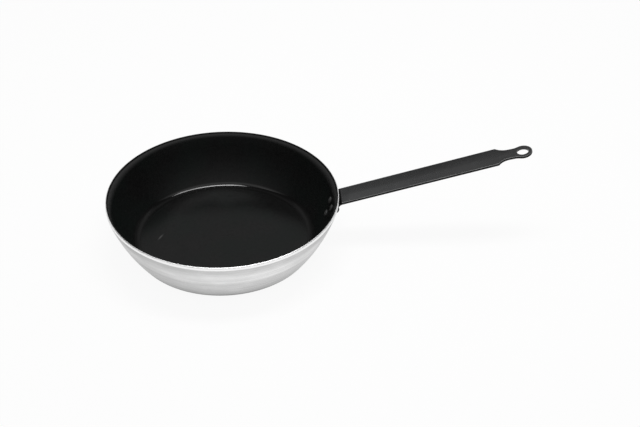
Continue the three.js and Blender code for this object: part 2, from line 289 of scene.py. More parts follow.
def outside_profile():
    """Outside of the bowl from the middle of the base up and over the turned rim."""
    corner = arc(BASE_CORNER_CENTRE, BASE_CORNER_RADIUS, -math.pi / 2, -BASE_CORNER_ANGLE, 14)
    blend_angle = WALL_LEAN_AT_RIM + RIM_LAND_BLEND / WALL_CURVE_RADIUS
    wall = arc(WALL_CENTRE, WALL_CURVE_RADIUS, -BASE_CORNER_ANGLE, -blend_angle, 36)
    land_foot = Vector((RIM_RADIUS, PAN_HEIGHT - RIM_LAND_HEIGHT + RIM_LAND_BLEND))
    land_head = Vector((RIM_RADIUS, PAN_HEIGHT - RIM_OUTER_ROUNDING))
    centre = Vector((RIM_RADIUS - RIM_OUTER_ROUNDING, PAN_HEIGHT - RIM_OUTER_ROUNDING))
    rounding = arc(centre, RIM_OUTER_ROUNDING, 0, math.pi / 2, 10)
    edge = arc(RIM_EDGE_CENTRE, RIM_INNER_EDGE_RADIUS, math.pi / 2, math.pi - RIM_EDGE_ANGLE, 8)
    base = line(ORIGIN, corner[0], 6)
    land = line(land_foot, land_head, 5)
    return base + corner[1:] + wall[1:] + land + rounding[1:] + edge[:-1]


def add_piece(name, made):
    mesh = bpy.data.meshes.new(name)
    made.to_mesh(mesh)
    made.free()
    piece = bpy.data.objects.new(name, mesh)
    bpy.context.scene.collection.objects.link(piece)
    return piece


def lathe(name, profile, steps):
    """Solid of revolution about Z, from a profile that starts and ends on the axis."""
    made = bmesh.new()
    first = made.verts.new((0, 0, profile[0][1]))
    last = made.verts.new((0, 0, profile[-1][1]))
    rings = []
    for radius, height in profile[1:-1]:
        ring = []
        for k in range(steps):
            turn = 2 * math.pi * k / steps
            ring.append(made.verts.new((radius * math.cos(turn), radius * math.sin(turn), height)))
        rings.append(ring)
    for k in range(steps):
        after = (k + 1) % steps
        made.faces.new((first, rings[0][after], rings[0][k]))
        made.faces.new((last, rings[-1][k], rings[-1][after]))
        for low, high in zip(rings, rings[1:]):
            made.faces.new((low[k], low[after], high[after], high[k]))
    bmesh.ops.recalc_face_normals(made, faces=made.faces)
    return add_piece(name, made)


def cut(piece, cutters):
    """Subtract the cutters from a piece, remove them, and weld the slivers that the cuts leave."""
    for cutter in cutters:
        modifier = piece.modifiers.new("cut", "BOOLEAN")
        modifier.operation = "DIFFERENCE"
        modifier.solver = "EXACT"
        modifier.object = cutter
    graph = bpy.context.evaluated_depsgraph_get()
    mesh = bpy.data.meshes.new_from_object(piece.evaluated_get(graph))
    piece.modifiers.clear()
    piece.data = mesh
    made = bmesh.new()
    made.from_mesh(mesh)
    bmesh.ops.remove_doubles(made, verts=made.verts, dist=WELD_DISTANCE)
    bmesh.ops.triangulate(made, faces=[face for face in made.faces if len(face.verts) > 4])
    bmesh.ops.dissolve_degenerate(made, edges=made.edges, dist=WELD_DISTANCE)
    made.to_mesh(mesh)
    made.free()
    for cutter in cutters:
        bpy.data.objects.remove(cutter)


# The bend is tangent to the flange's wall face and to the strip's top face
STRIP_DIRECTION = polar(ORIGIN, 1, HANDLE_RISE)
STRIP_NORMAL = polar(ORIGIN, 1, HANDLE_RISE + math.pi / 2)


def find_bend_centre():
    start = Vector((RIM_RADIUS, PAN_HEIGHT - HANDLE_DROP_AT_RIM))
    start -= STRIP_NORMAL * BEND_OUTER_RADIUS
    from_wall = start - WALL_CENTRE
    along = from_wall.dot(STRIP_DIRECTION)
    reach = FLANGE_FACE_RADIUS + BEND_OUTER_RADIUS
    travel = math.sqrt(along ** 2 + reach ** 2 - from_wall.length_squared) - along
    return start + STRIP_DIRECTION * travel


BEND_CENTRE = find_bend_centre()
BEND_ANGLE = angle_at_height(FLANGE_FACE_RADIUS + BEND_OUTER_RADIUS, BEND_CENTRE[1])
RIVET_SPACING = RIVET_HEAD_DIAMETER + RIVET_HEAD_GAP
RIVET_ROW_PITCH = RIVET_HEAD_DIAMETER + RIVET_ROW_GAP
FOOT_RADIUS = RIVET_HEAD_RADIUS + FOOT_MARGIN
BEND_ABOVE_ROW = RIVET_HEAD_RADIUS + RIVET_BELOW_BEND
UPPER_ROW_ANGLE = BEND_ANGLE + BEND_ABOVE_ROW / WALL_CURVE_RADIUS
LOWER_ROW_ANGLE = UPPER_ROW_ANGLE + RIVET_ROW_PITCH / WALL_CURVE_RADIUS
CHEEK_HALF_WIDTH = RIVET_SPACING / 2 + RIVET_HEAD_RADIUS + CHEEK_MARGIN

# Distances along the handle from the lower rivet
BEND_FROM = math.pi - BEND_ANGLE
BEND_TO = math.pi / 2 + HANDLE_RISE
BEND_START = RIVET_ROW_PITCH + BEND_ABOVE_ROW
STRIP_START = BEND_START + BEND_MIDDLE_RADIUS * (BEND_FROM - BEND_TO)
SHOULDER_START = STRIP_START + STRIP_LENGTH
EYE_DISTANCE = SHOULDER_START + EYE_REACH


def handle_section(distance):
    """Middle of the strip, the normal of its upper face and how far it hugs the round wall."""
    if distance <= BEND_START:
        angle = LOWER_ROW_ANGLE - distance / WALL_CURVE_RADIUS
        middle = polar(WALL_CENTRE, FLANGE_MIDDLE_RADIUS, -angle)
        return middle, polar(ORIGIN, 1, math.pi - angle), 1.0
    if distance <= STRIP_START:
        share = (distance - BEND_START) / (STRIP_START - BEND_START)
        turn = lerp(BEND_FROM, BEND_TO, share)
        middle = polar(BEND_CENTRE, BEND_MIDDLE_RADIUS, turn)
        return middle, polar(ORIGIN, 1, turn), 1 - smoothstep(share)
    run = min(distance, SHOULDER_START) - STRIP_START
    middle = BEND_CENTRE + STRIP_NORMAL * BEND_MIDDLE_RADIUS + STRIP_DIRECTION * run
    past = max(distance - SHOULDER_START, 0.0)
    curved = min(past, DROOP_LENGTH)
    turn = EYE_DROOP * curved / DROOP_LENGTH
    middle += polar(ORIGIN, curved, HANDLE_RISE - turn / 2)
    middle += polar(ORIGIN, past - curved, HANDLE_RISE - turn)
    return middle, polar(ORIGIN, 1, HANDLE_RISE - turn + math.pi / 2), 0.0


def place_on_handle(distance, across, through):
    middle, normal, hug = handle_section(distance)
    spot = middle + normal * through
    turn = across / spot[0]
    return Vector((
        lerp(spot[0], spot[0] * math.cos(turn), hug),
        lerp(across, spot[0] * math.sin(turn), hug),
        spot[1],
    ))


def handle_outline():
    """Half of the handle's flat outline from the foot's tip to the eye's, as distance and width."""
    corner = Vector((RIVET_ROW_PITCH, CHEEK_HALF_WIDTH - CHEEK_CORNER_RADIUS))
    side = math.atan2(corner[1], corner[0])
    side += math.acos((FOOT_RADIUS - CHEEK_CORNER_RADIUS) / corner.length)
    points = arc(ORIGIN, FOOT_RADIUS, math.pi, side, 24)
    points += arc(corner, CHEEK_CORNER_RADIUS, side, math.pi / 2, 12)
    for k in range(1, CHEEK_STEPS + 1):
        turn = math.pi / 2 * k / CHEEK_STEPS
        points.append(Vector((
            RIVET_ROW_PITCH + BEND_ABOVE_ROW * math.sin(turn),
            lerp(STRIP_HALF, CHEEK_HALF_WIDTH, math.cos(turn)),
        )))
    points.append(Vector((STRIP_START, STRIP_HALF)))
    points.append(Vector((SHOULDER_START, SHOULDER_HALF)))
    shoulder_turn = 2 * math.atan((SHOULDER_HALF - NECK_HALF) / SHOULDER_LENGTH)
    shoulder_radius = SHOULDER_LENGTH / math.sin(shoulder_turn)
    shoulder_centre = Vector((SHOULDER_START + SHOULDER_LENGTH, NECK_HALF + shoulder_radius))
    shoulder_from = -math.pi / 2 - shoulder_turn
    points += arc(shoulder_centre, shoulder_radius, shoulder_from, -math.pi / 2, 20)[1:]
    rise = NECK_HALF + NECK_FILLET_RADIUS
    fillet_turn = math.acos(rise / (EYE_RADIUS + NECK_FILLET_RADIUS))
    fillet_back = (EYE_RADIUS + NECK_FILLET_RADIUS) * math.sin(fillet_turn)
    fillet_centre = Vector((EYE_DISTANCE - fillet_back, rise))
    fillet_to = -math.pi / 2 + fillet_turn
    points += arc(fillet_centre, NECK_FILLET_RADIUS, -math.pi / 2, fillet_to, 12)
    eye_centre = Vector((EYE_DISTANCE, 0.0))
    points += arc(eye_centre, EYE_RADIUS, math.pi / 2 + fillet_turn, 0.0, 48)[1:]
    return points


def even_outline():
    """The outline at an even pitch, with its corners eased, and the outward normal at each point."""
    points = handle_outline()
    spread = []
    for a, b in zip(points, points[1:]):
        steps = max(1, math.ceil((b - a).length / OUTLINE_PITCH))
        spread += [a.lerp(b, k / steps) for k in range(steps)]
    spread.append(points[-1])
    for _ in range(OUTLINE_EASING_PASSES):
        eased = [(a + 2 * b + c) / 4 for a, b, c in zip(spread, spread[1:], spread[2:])]
        spread = [spread[0]] + eased + [spread[-1]]
    spread[0][1] = 0.0
    spread[-1][1] = 0.0
    normals = [Vector((-1.0, 0.0))]
    for a, c in zip(spread, spread[2:]):
        tangent = (c - a).normalized()
        normals.append(Vector((-tangent[1], tangent[0])))
    normals.append(Vector((1.0, 0.0)))
    return spread, normals


def edge_rings():
    """Rings that round the strip's edge over, from underside to top: inset, height and turn."""
    flat = HALF_THICKNESS - STRIP_EDGE_ROUNDING
    rings = []
    for middle, start in ((-flat, -90), (flat, 0)):
        for k in range(STRIP_EDGE_STEPS + 1):
            turn = math.radians(start + 90 * k / STRIP_EDGE_STEPS)
            inset = STRIP_EDGE_ROUNDING * (1 - math.cos(turn))
            rings.append((inset, middle + STRIP_EDGE_ROUNDING * math.sin(turn), turn))
    return rings


def crown_rise(distance, share):
    """How far the grip's top rises from its edges to its crowned middle."""
    fade_in = (distance - STRIP_START) / CROWN_RUN_OUT
    fade_out = (EYE_DISTANCE - EYE_RADIUS - distance) / CROWN_RUN_OUT
    fade = smoothstep(min(max(min(fade_in, fade_out), 0.0), 1.0))
    return STRIP_CROWN * fade * 4 * share * (1 - share)


def make_handle():
    """A strip with rounded edges, laid along the flange, the bend, the grip and the eye."""
    points, normals = even_outline()
    count = len(points)
    made = bmesh.new()
    side_layer = made.verts.layers.float.new("side")
    edge_layer = made.verts.layers.float.new("edge")

    def add_vertex(spot, across, height, turn):
        vertex = made.verts.new(place_on_handle(spot, across, height))
        vertex[side_layer] = smoothstep(1 - min(abs(turn) / SIDE_FADE_ANGLE, 1.0))
        vertex[edge_layer] = math.sin(2 * abs(turn))
        return vertex

    loops = []
    for inset, height, turn in edge_rings():
        right = []
        left = []
        for k, (point, normal) in enumerate(zip(points, normals)):
            spot = point - normal * inset
            right.append(add_vertex(spot[0], spot[1], height, turn))
            inner = 0 < k < count - 1
            left.append(add_vertex(spot[0], -spot[1], height, turn) if inner else right[-1])
        loops.append((right, left))
    for (right, left), (right_up, left_up) in zip(loops, loops[1:]):
        for k in range(count - 1):
            made.faces.new((right[k], right[k + 1], right_up[k + 1], right_up[k]))
            made.faces.new((left[k + 1], left[k], left_up[k], left_up[k + 1]))
    for (right, left), height in ((loops[0], -HALF_THICKNESS), (loops[-1], HALF_THICKNESS)):
        rows = []
        for k in range(1, count - 1):
            spot = points[k] - normals[k] * STRIP_EDGE_ROUNDING
            row = [right[k]]
            for share in STRIP_SHARES[1:-1]:
                across = lerp(spot[1], -spot[1], share)
                rise = crown_rise(spot[0], share) if height > 0 else 0.0
                row.append(add_vertex(spot[0], across, height + rise, math.pi / 2))
            row.append(left[k])
            rows.append(row)
        for low, high in zip(rows, rows[1:]):
            for k in range(len(STRIP_SHARES) - 1):
                made.faces.new((low[k], low[k + 1], high[k + 1], high[k]))
        for k in range(len(STRIP_SHARES) - 1):
            made.faces.new((right[0], rows[0][k + 1], rows[0][k]))
            made.faces.new((right[-1], rows[-1][k], rows[-1][k + 1]))
    bmesh.ops.recalc_face_normals(made, faces=made.faces)
    return add_piece("strip_handle", made)


def make_eye_cutter():
    """Cutter for the hanging hole, which flares at both faces to round its edges over."""
    flat = HALF_THICKNESS - EYE_HOLE_ROUNDING
    flare = []
    for k in range(HOLE_EDGE_STEPS + 1):
        turn = math.pi / 2 * k / HOLE_EDGE_STEPS
        radius = EYE_HOLE_RADIUS + EYE_HOLE_ROUNDING * (1 - math.cos(turn))
        flare.append(Vector((radius, flat + EYE_HOLE_ROUNDING * math.sin(turn))))
    mouth = EYE_HOLE_RADIUS + EYE_HOLE_ROUNDING
    flare.append(Vector((mouth, STRIP_THICKNESS)))
    flare.append(Vector((0.0, STRIP_THICKNESS)))
    below = [Vector((point[0], -point[1])) for point in reversed(flare)]
    cutter = lathe("eye_cutter", below + flare, HOLE_STEPS)
    middle, normal, _ = handle_section(EYE_DISTANCE)
    turn = Matrix.Rotation(math.atan2(normal[0], normal[1]), 4, "Y")
    cutter.data.transform(Matrix.Translation((middle[0], 0.0, middle[1])) @ turn)
    return cutter


def rivet_matrix(across, angle):
    """Place of a rivet: its local +Z points out along its axis from the outside of the wall."""
    spot = polar(WALL_CENTRE, WALL_CURVE_RADIUS, -angle)
    turn = across / spot[0]
    axis = Vector((
        math.cos(angle) * math.cos(turn),
        math.cos(angle) * math.sin(turn),
        -math.sin(angle),
    ))
    place = Vector((spot[0] * math.cos(turn), spot[0] * math.sin(turn), spot[1]))
    return Matrix.Translation(place) @ axis.to_track_quat("Z", "Y").to_matrix().to_4x4()


RIVET_PLACES = {
    "rivet_upper_left": rivet_matrix(-RIVET_SPACING / 2, UPPER_ROW_ANGLE),
    "rivet_upper_right": rivet_matrix(RIVET_SPACING / 2, UPPER_ROW_ANGLE),
    "rivet_lower": rivet_matrix(0.0, LOWER_ROW_ANGLE),
}


def rivet_cutters():
    radius = RIVET_SHANK_RADIUS + HOLE_CLEARANCE
    profile = [
        Vector((0.0, -CUTTER_REACH)), Vector((radius, -CUTTER_REACH)),
        Vector((radius, CUTTER_REACH)), Vector((0.0, CUTTER_REACH)),
    ]
    cutters = []
    for name, place in RIVET_PLACES.items():
        cutter = lathe(name + "_cutter", profile, RIVET_STEPS)
        cutter.data.transform(place)
        cutters.append(cutter)
    return cutters


def head_profile(height):
    """A domed head from the rim of its seat to its crown, as radius and height."""
    height += SEAT_GAP - HEAD_SEAT_GAP
    dome_height = height - RIVET_HEAD_EDGE
    dome_radius = (RIVET_HEAD_RADIUS ** 2 + dome_height ** 2) / (2 * dome_height)
    dome_angle = math.asin(RIVET_HEAD_RADIUS / dome_radius)
    centre = Vector((0.0, height - dome_radius))
    dome_from = math.pi / 2 - dome_angle * RIVET_DOME_SHARE
    dome = arc(centre, dome_radius, dome_from, math.pi / 2, 14)
    dome[-1][0] = 0.0
    skirt = [
        Vector((RIVET_HEAD_RADIUS * RIVET_SEAT_SHARE, 0.0)),
        Vector((RIVET_HEAD_RADIUS, RIVET_SEAT_ROUNDING)),
        Vector((RIVET_HEAD_RADIUS, RIVET_HEAD_EDGE - RIVET_SHOULDER_DROP)),
        Vector((RIVET_HEAD_RADIUS * RIVET_SHOULDER_SHARE, RIVET_HEAD_EDGE + RIVET_SHOULDER_RISE)),
    ]
    return skirt + dome


def make_rivet(name, place):
    """A solid rivet: a low head inside the pan, the shank, and a fuller head set on the flange."""
    coat = LINING_BOND_GAP + LINING_THICKNESS
    inner_seat = -(WALL_THICKNESS + coat + HEAD_SEAT_GAP)
    outer_seat = SEAT_GAP + STRIP_THICKNESS + HEAD_SEAT_GAP
    head = head_profile(RIVET_HEAD_HEIGHT)
    tail = head_profile(RIVET_TAIL_HEIGHT)
    inner = [Vector((point[0], inner_seat - point[1])) for point in reversed(head)]
    outer = [Vector((point[0], outer_seat + point[1])) for point in tail]
    shank = [
        Vector((RIVET_SHANK_RADIUS, inner_seat)),
        Vector((RIVET_SHANK_RADIUS, outer_seat)),
    ]
    piece = lathe(name, inner + shank + outer, RIVET_STEPS)
    piece.data.transform(place)
    return piece


def finish_piece(piece, node, material, sharp_angle):
    piece.data.shade_smooth()
    piece.data.set_sharp_from_angle(angle=sharp_angle)
    piece.data.materials.clear()
    piece.data.materials.append(material)
    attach(piece, "root")
    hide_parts(node)


class Nodes:
    """A short way to write the nodes of a material or of the world."""

    def __init__(self, owner):
        owner.use_nodes = True
        self.tree = owner.node_tree

    def add(self, kind, settings, inputs):
        made = self.tree.nodes.new(kind)
        for name, value in settings.items():
            setattr(made, name, value)
        for name, value in inputs.items():
            self.set(made.inputs[name], value)
        return made

    def set(self, socket, value):
        if isinstance(value, bpy.types.NodeSocket):
            self.tree.links.new(value, socket)
        else:
            socket.default_value = value

    def math(self, operation, a, b=0.0, c=0.0):
        inputs = {0: a, 1: b, 2: c}
        return self.add("ShaderNodeMath", {"operation": operation}, inputs).outputs[0]

    def combine(self, x, y, z):
        return self.add("ShaderNodeCombineXYZ", {}, {0: x, 1: y, 2: z}).outputs[0]

    def noise(self, vector, scale, detail, roughness=0.5):
        inputs = {"Vector": vector, "Scale": scale, "Detail": detail, "Roughness": roughness}
        return self.add("ShaderNodeTexNoise", {}, inputs).outputs[0]

    def remap(self, value, low, high, to_low, to_high):
        inputs = {0: value, 1: low, 2: high, 3: to_low, 4: to_high}
        settings = {"interpolation_type": "SMOOTHSTEP"}
        return self.add("ShaderNodeMapRange", settings, inputs).outputs[0]

    def fade(self, value, start, span, to_low, to_high):
        """Remap over a span whose two ends are measured from a start."""
        return self.remap(value, start + span[0], start + span[1], to_low, to_high)

    def ramp(self, value, low, high, stops):
        share = self.add("ShaderNodeMapRange", {}, {0: value, 1: low, 2: high}).outputs[0]
        made = self.add("ShaderNodeValToRGB", {}, {0: share})
        made.color_ramp.interpolation = "EASE"
        while len(made.color_ramp.elements) < len(stops):
            made.color_ramp.elements.new(1.0)
        for element, (position, tone) in zip(made.color_ramp.elements, stops):
            element.position = position
            element.color = grey(tone)
        return made.outputs[0]

    def scale(self, colour, factor):
        made = self.add("ShaderNodeVectorMath", {"operation": "SCALE"}, {0: colour, "Scale": factor})
        return made.outputs[0]

    def attribute(self, name):
        return self.add("ShaderNodeAttribute", {"attribute_name": name}, {}).outputs["Fac"]

    def blend(self, share, a, b):
        inputs = {0: share, 2: a, 3: b}
        return self.add("ShaderNodeMix", {"data_type": "FLOAT"}, inputs).outputs[0]

    def mix(self, share, a, b):
        made = self.add("ShaderNodeMix", {"data_type": "RGBA"}, {0: share})
        self.set(made.inputs[6], a)
        self.set(made.inputs[7], b)
        return made.outputs[2]

    def bump(self, height, distance, strength=1.0):
        inputs = {"Height": height, "Distance": distance, "Strength": strength}
        return self.add("ShaderNodeBump", {}, inputs).outputs[0]

    def place(self):
        return self.add("ShaderNodeTexCoord", {}, {}).outputs["Object"]

    def split(self, vector):
        return self.add("ShaderNodeSeparateXYZ", {}, {0: vector}).outputs

    def mark(self, vector, centre, half_sizes, turn):
        """A soft oval mark on a level face, strongest in its middle."""
        inputs = {
            "Vector": vector, "Location": centre, "Rotation": (0.0, 0.0, turn),
            "Scale": (half_sizes[0], half_sizes[1], 1.0),
        }
        local = self.add("ShaderNodeMapping", {"vector_type": "TEXTURE"}, inputs).outputs[0]
        reach = self.add("ShaderNodeVectorMath", {"operation": "LENGTH"}, {0: local}).outputs[1]
        return self.remap(reach, 0.1, 1.0, 1.0, 0.0)


class MaterialNodes(Nodes):
    """The nodes of a new material, round its one surface shader."""

    def __init__(self, name):
        self.material = bpy.data.materials.new(name)
        super().__init__(self.material)
        self.shader = self.tree.nodes["Principled BSDF"]

    def put(self, **inputs):
        for name, value in inputs.items():
            self.set(self.shader.inputs[name.replace("_", " ")], value)


def grey(value, warm=0.0):
    return (value * (1 + warm), value, value * (1 - warm), 1.0)


def round_place(nodes):
    """Distance from the bowl's axis, direction round it, and height."""
    x, y, z = nodes.split(nodes.place())
    flat = nodes.combine(x, y, 0.0)
    radius = nodes.add("ShaderNodeVectorMath", {"operation": "LENGTH"}, {0: flat}).outputs[1]
    unit = nodes.add("ShaderNodeVectorMath", {"operation": "NORMALIZE"}, {0: flat}).outputs[0]
    return radius, nodes.split(unit), z


def spun_noise(nodes, along, unit, lines, drift, detail):
    """Noise drawn out round the bowl: lines is per metre of profile, drift is along the turn."""
    vector = nodes.combine(
        nodes.math("MULTIPLY", along, lines),
        nodes.math("MULTIPLY", unit[0], drift),
        nodes.math("MULTIPLY", unit[1], drift),
    )
    return nodes.noise(vector, 1.0, detail)


def make_aluminium():
    nodes = MaterialNodes("spun_aluminium")
    radius, unit, z = round_place(nodes)
    along = nodes.math("ADD", radius, z)
    fine = spun_noise(nodes, along, unit, 1500.0, 1.5, 3.0)
    bands = spun_noise(nodes, along, unit, 190.0, 0.6, 2.0)
    patches = spun_noise(nodes, along, unit, 60.0, 4.0, 2.0)
    # Painted shade: the wall's tone darkens towards its foot, where it mirrors the shadow under the
    # pan
    wall_shade_ramp = nodes.ramp(z, 0.0, PAN_HEIGHT, WALL_TONES)
    grain = nodes.math(
        "MULTIPLY",
        nodes.remap(bands, 0.3, 0.7, 1.03, 0.94),
        nodes.remap(patches, 0.4, 0.75, 0.98, 1.08),
    )
    # Painted shade: the wall is darker away from the handle, and darker again beside the flange as a
    # painted reflection of the dark handle
    shade = nodes.math("MULTIPLY", grain, nodes.remap(unit[0], -0.8, 0.2, 0.85, 1.0))
    shade = nodes.math("MULTIPLY", shade, nodes.remap(unit[0], 0.78, 0.94, 1.0, 0.75))
    tone = nodes.scale(wall_shade_ramp, shade)
    face = nodes.fade(radius, BASE_FACE_RADIUS, BASE_FACE_FADE, 1.0, 0.0)
    face = nodes.math("MULTIPLY", face, nodes.remap(z, *BASE_FACE_LIFT, 1.0, 0.0))
    tone = nodes.mix(face, tone, nodes.scale((BASE_FACE_TONE,) * 3, grain))
    # The turned rim is bright, with the coating over its inner edge
    land_foot = PAN_HEIGHT - RIM_LAND_HEIGHT
    land = nodes.fade(z, land_foot, RIM_LAND_FADE, 0.0, 1.0)
    tone = nodes.mix(land, tone, grey(RIM_TONE))
    coat_edge = RIM_EDGE_CENTRE[0] + RIM_TOP_FLAT
    coated = nodes.fade(radius, coat_edge, RIM_COAT_FADE, 1.0, 0.0)
    coated = nodes.math("MULTIPLY", coated, nodes.fade(z, land_foot, RIM_COAT_START, 0.0, 1.0))
    tone = nodes.mix(coated, tone, grey(RIM_COAT_TONE))
    rough = nodes.math(
        "ADD", nodes.remap(fine, 0.25, 0.75, 0.25, 0.36), nodes.remap(bands, 0.3, 0.7, -0.03, 0.03),
    )
    rough = nodes.blend(land, rough, 0.34)
    tangent = nodes.add("ShaderNodeTangent", {"direction_type": "RADIAL", "axis": "Z"}, {})
    metal = nodes.math("MAXIMUM", nodes.remap(land, 0.0, 1.0, 1.0, 0.92), coated)
    nodes.put(
        Base_Color=tone, Metallic=metal, Roughness=rough,
        Anisotropic=0.5, Tangent=tangent.outputs[0], Normal=nodes.bump(fine, SPUN_GRAIN_DEPTH),
        Specular_Tint=grey(0.8),
    )
    return nodes.material


def make_nonstick():
    nodes = MaterialNodes("nonstick_coating")
    spot = nodes.place()
    grain = nodes.noise(spot, 1500.0, 3.0)
    mottle = nodes.noise(spot, 260.0, 4.0)
    clouds = nodes.noise(spot, 20.0, 3.0)
    mottle = nodes.remap(mottle, 0.3, 0.7, 0.0, 1.0)
    tone = nodes.mix(mottle, grey(COAT_DARK_TONE), grey(COAT_PALE_TONE))
    tone = nodes.mix(nodes.remap(clouds, 0.35, 0.7, 0.0, 0.6), tone, COAT_COOL_COLOUR)
    radius, unit, z = round_place(nodes)
    # Painted light: the coating has a pale band below the rim, deeper at the handle's side and
    # opposite it
    reach = nodes.math("POWER", nodes.math("ABSOLUTE", unit[0]), 4.0)
    reach = nodes.math("MULTIPLY_ADD", reach, SHEEN_BAND_EXTRA_AT_SIDES, SHEEN_BAND_DEPTH)
    below_rim = nodes.math("SUBTRACT", PAN_HEIGHT, z)
    depth = nodes.math("DIVIDE", below_rim, reach)
    painted_sheen = nodes.remap(depth, 0.05, 1.0, 1.0, 0.0)
    painted_sheen = nodes.math("MULTIPLY", painted_sheen, nodes.remap(below_rim, *SHEEN_BAND_START, 0.1, 1.0))
    tone = nodes.mix(painted_sheen, tone, grey(COAT_RIM_SHEEN_TONE))
    floor = nodes.fade(radius, FLOOR_RADIUS, FLOOR_EDGE_FADE, 1.0, 0.0)
    fillet = nodes.fade(z, BASE_THICKNESS, FLOOR_FILLET_FADE, 1.0, 0.0)
    fillet = nodes.math("SUBTRACT", fillet, floor)
    tone = nodes.mix(fillet, tone, grey(COAT_FILLET_TONE))
    # Painted reflection: a soft pale patch on the floor in front of the back ring
    glow_patch = nodes.mark(spot, GLOW_PATCH_PLACE, GLOW_PATCH_HALF_SIZES, 0.0)
    tone = nodes.mix(nodes.math("MULTIPLY", glow_patch, 0.25), tone, grey(COAT_GLOW_PATCH_TONE))
    scratch = nodes.mark(spot, SCRATCH_PLACE, SCRATCH_HALF_SIZES, SCRATCH_TURN)
    tone = nodes.mix(scratch, tone, grey(COAT_SCRATCH_TONE))
    rough = nodes.math(
        "ADD", nodes.remap(grain, 0.3, 0.7, 0.23, 0.29), nodes.remap(clouds, 0.3, 0.7, -0.01, 0.02),
    )
    back = nodes.remap(unit[1], 0.3, 0.8, 0.0, 1.0)
    rough = nodes.blend(fillet, rough, nodes.remap(back, 0.0, 1.0, 0.34, 0.09))
    rough = nodes.math("ADD", rough, nodes.math("MULTIPLY", floor, 0.02))
    # A ring round the floor's corner is rubbed smooth at the back, and shines
    rubbed = nodes.math(
        "MULTIPLY", nodes.fade(radius, FLOOR_RADIUS, RING_INNER_FADE, 0.0, 0.8),
        nodes.fade(radius, FLOOR_RADIUS, RING_OUTER_FADE, 1.0, 0.0),
    )
    rubbed = nodes.math("MULTIPLY", rubbed, back)
    rubbed = nodes.math("MULTIPLY", rubbed, nodes.remap(unit[0], 0.10, 0.30, 1.0, 0.1))
    rubbed = nodes.math("MULTIPLY", rubbed, nodes.remap(unit[0], -0.42, -0.12, 0.35, 1.0))
    nodes.put(
        Base_Color=tone, Roughness=rough, Normal=nodes.bump(grain, COAT_GRAIN_DEPTH),
        Coat_Weight=rubbed, Coat_Roughness=0.07, Specular_IOR_Level=0.19,
    )
    return nodes.material


def make_black_steel():
    nodes = MaterialNodes("black_steel")
    spot = nodes.place()
    peel = nodes.noise(spot, 900.0, 3.0)
    mottle = nodes.noise(spot, 180.0, 4.0)
    clouds = nodes.noise(spot, 35.0, 3.0)
    clouds = nodes.remap(clouds, 0.3, 0.7, 0.0, 1.0)
    tone = nodes.mix(clouds, grey(STEEL_DARK_TONE, -0.03), grey(STEEL_PALE_TONE, -0.03))
    mottle = nodes.remap(mottle, 0.45, 0.75, 0.0, 0.3)
    tone = nodes.mix(mottle, tone, grey(STEEL_MOTTLE_TONE, -0.02))
    x, y, z = nodes.split(spot)
    # Use has left the strip lighter towards the bowl. Its near half and its edges, the near ones
    # most, are painted paler where they catch the light
    rubbed = nodes.fade(x, RIM_RADIUS, STEEL_RUBBED_FADE, 0.6, 0.0)
    tone = nodes.mix(rubbed, tone, grey(STEEL_RUBBED_TONE, -0.03))
    # Painted sheen: the near half of the top is paler, where the crowned top catches more light
    near_sheen = nodes.fade(x, RIM_RADIUS, STEEL_NEAR_SHEEN_FADE, 0.3, 0.1)
    near_sheen = nodes.math("MULTIPLY", near_sheen, nodes.remap(y, *STEEL_NEAR_SHEEN_SIDE_FADE, 1.0, 0.0))
    tone = nodes.mix(near_sheen, tone, grey(STEEL_NEAR_SHEEN_TONE, -0.03))
    # Painted highlight: the rounded edges are paler, the near ones most, where they catch the light
    painted_sheen = nodes.math("MULTIPLY", nodes.attribute("edge"), nodes.remap(clouds, 0.0, 1.0, 0.45, 0.75))
    painted_sheen = nodes.math("MULTIPLY", painted_sheen, nodes.remap(y, *STEEL_EDGE_SIDE_FADE, 1.0, 0.3))
    tone = nodes.mix(painted_sheen, tone, grey(STEEL_EDGE_SHEEN_TONE))
    # Painted shade: the side faces are made dark, dull metal to stand for their shade
    side = nodes.attribute("side")
    tone = nodes.mix(side, tone, grey(STEEL_SIDE_TONE))
    # Painted shade: the crevice between the bend and the wall is darkened
    crevice_shade = nodes.fade(x, RIM_RADIUS, STEEL_CREVICE_FADE, 1.0, 0.0)
    above_bend = nodes.fade(z, BEND_CENTRE[1], STEEL_CREVICE_START, 0.0, 1.0)
    crevice_shade = nodes.math("MULTIPLY", crevice_shade, above_bend)
    tone = nodes.mix(crevice_shade, tone, grey(STEEL_CREVICE_SHADE_TONE))
    rough = nodes.math(
        "ADD", nodes.remap(peel, 0.3, 0.7, 0.22, 0.30), nodes.remap(clouds, 0.0, 1.0, -0.03, 0.03),
    )
    rough = nodes.blend(side, rough, 0.5)
    nodes.put(
        Base_Color=tone, Metallic=nodes.math("MAXIMUM", side, crevice_shade), Roughness=rough,
        Normal=nodes.bump(peel, STEEL_PEEL_DEPTH), Specular_IOR_Level=0.5,
    )
    return nodes.material


def make_rivet_finish():
    nodes = MaterialNodes("dark_rivet")
    spot = nodes.place()
    peel = nodes.noise(spot, 1200.0, 3.0)
    mottle = nodes.noise(spot, 300.0, 3.0)
    mottle = nodes.remap(mottle, 0.3, 0.7, 0.0, 1.0)
    tone = nodes.mix(mottle, grey(RIVET_DARK_TONE), grey(RIVET_PALE_TONE))
    # The heads outside the wall are darker than those inside
    radius = round_place(nodes)[0]
    outer = nodes.fade(radius, RIM_RADIUS, RIVET_OUTER_FADE, 0.0, 1.0)
    tone = nodes.mix(outer, tone, grey(RIVET_OUTER_TONE))
    rough = nodes.remap(peel, 0.3, 0.7, 0.28, 0.38)
    nodes.put(
        Base_Color=tone, Metallic=outer, Roughness=rough,
        Normal=nodes.bump(peel, RIVET_PEEL_DEPTH), Specular_Tint=grey(0.3),
    )
    return nodes.material


